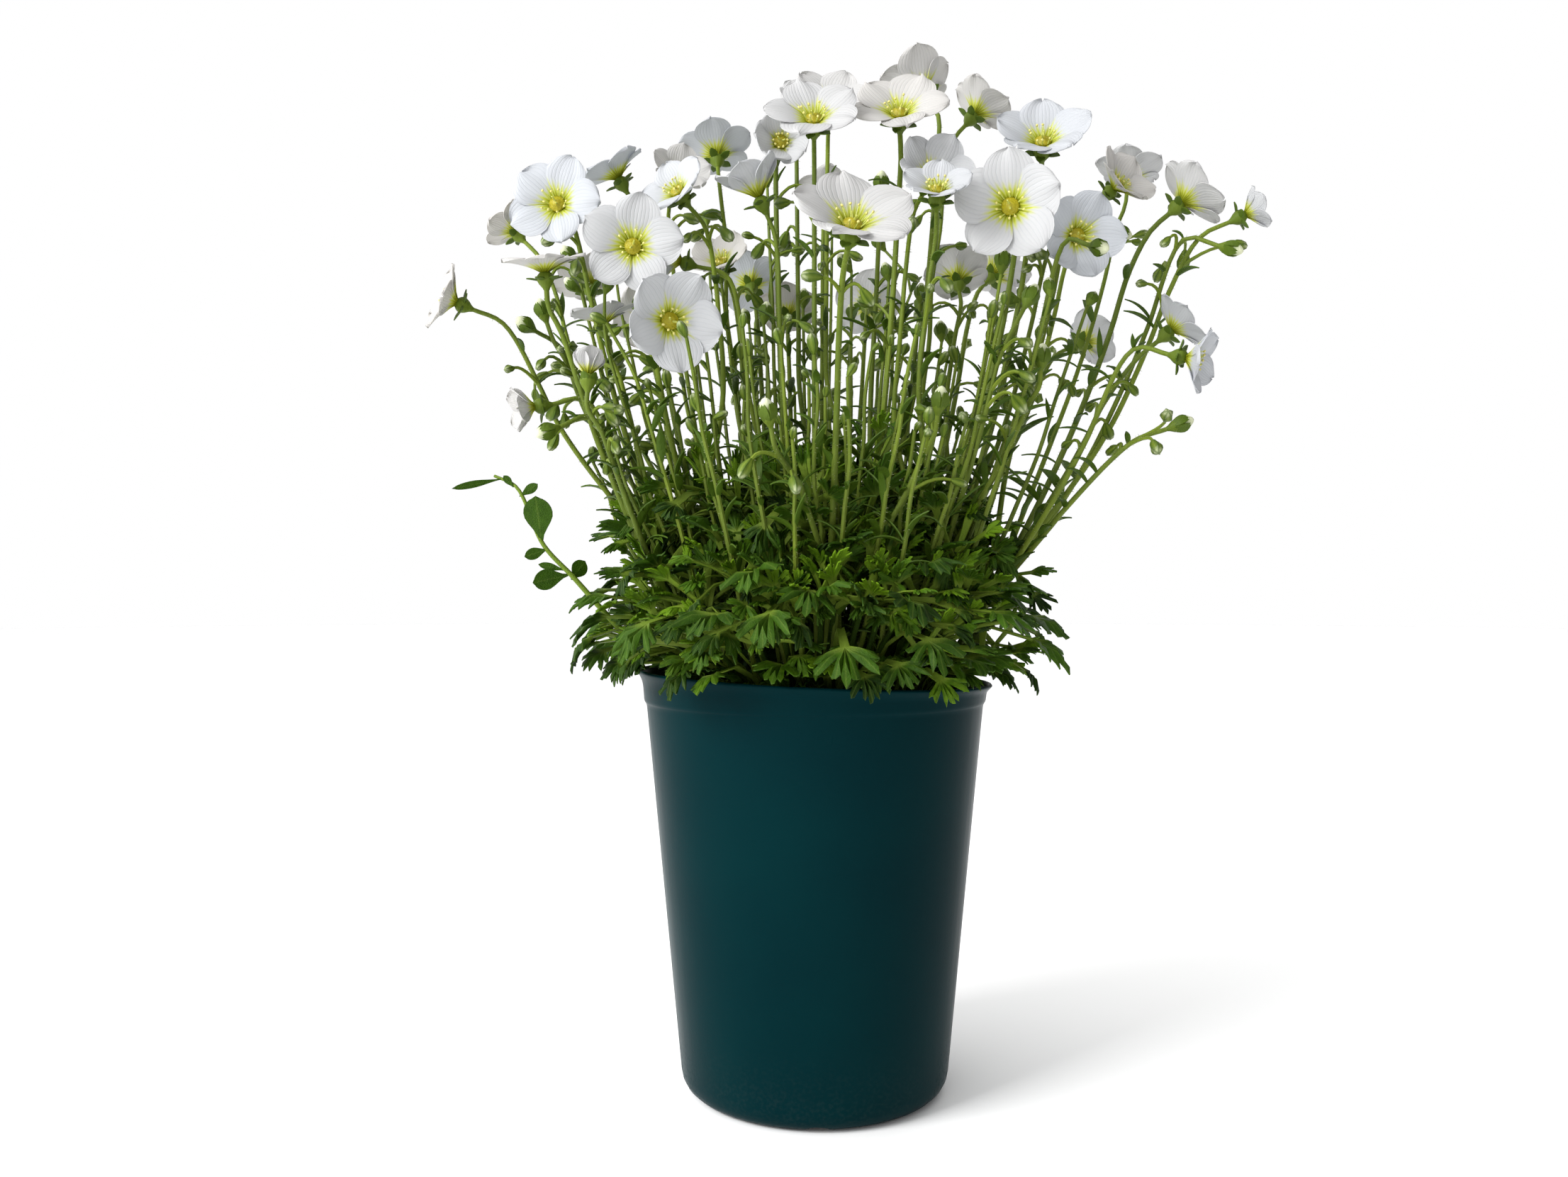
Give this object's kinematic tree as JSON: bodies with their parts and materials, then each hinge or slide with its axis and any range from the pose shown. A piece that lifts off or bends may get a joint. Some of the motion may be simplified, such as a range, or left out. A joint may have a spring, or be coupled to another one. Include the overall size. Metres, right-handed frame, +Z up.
{
  "type": "potted saxifrage",
  "caption": "Mossy saxifrage in flower: a cushion of lobed leaves with fine forked stems and white five-petalled flowers, in a tapered round plastic nursery pot.",
  "frame": {"origin": "middle of the pot's underside, on the surface that the pot stands on", "axes": "+Z up along the pot's axis, -Y towards the front of the plant, +X to the right as seen from the front"},
  "size_m": [0.2853, 0.2055, 0.3568],
  "materials": {
    "pot_plastic": "semi-gloss deep teal green",
    "potting_mix": "rough, dark and crumbly",
    "leaf": "soft, slightly waxy leaf green",
    "stem": "finely hairy yellow-green",
    "petal": "satin white with a yellow-green foot"
  },
  "bodies": {
    "root": {"pot": "pot_plastic", "potting_mix": "potting_mix", "leaf_cushion": "leaf", "side_shoot": "leaf", "flower_spray_01": "stem", "flower_spray_02": "stem", "flower_spray_03": "stem", "flower_spray_04": "stem", "flower_spray_05": "stem", "flower_spray_06": "stem", "flower_spray_07": "stem", "flower_spray_08": "stem", "flower_spray_09": "stem", "flower_spray_10": "stem", "flower_spray_11": "stem", "flower_spray_12": "stem", "petals_01": "petal", "petals_02": "petal", "petals_03": "petal", "petals_04": "petal", "petals_05": "petal", "petals_06": "petal", "petals_07": "petal", "petals_08": "petal", "petals_09": "petal", "petals_10": "petal", "petals_11": "petal", "petals_12": "petal", "petals_13": "petal", "petals_14": "petal", "petals_15": "petal", "petals_16": "petal", "petals_17": "petal", "petals_18": "petal", "petals_19": "petal", "petals_20": "petal", "petals_21": "petal", "petals_22": "petal", "petals_23": "petal", "petals_24": "petal", "petals_25": "petal", "petals_26": "petal", "petals_27": "petal", "petals_28": "petal", "petals_29": "petal", "petals_30": "petal", "petals_31": "petal", "petals_32": "petal", "petals_33": "petal", "petals_34": "petal", "petals_35": "petal", "petals_36": "petal", "petals_37": "petal", "petals_38": "petal", "petals_39": "petal", "petals_40": "petal", "petals_41": "petal", "petals_42": "petal", "petals_43": "petal", "petals_44": "petal"}
  },
  "joints": []
}
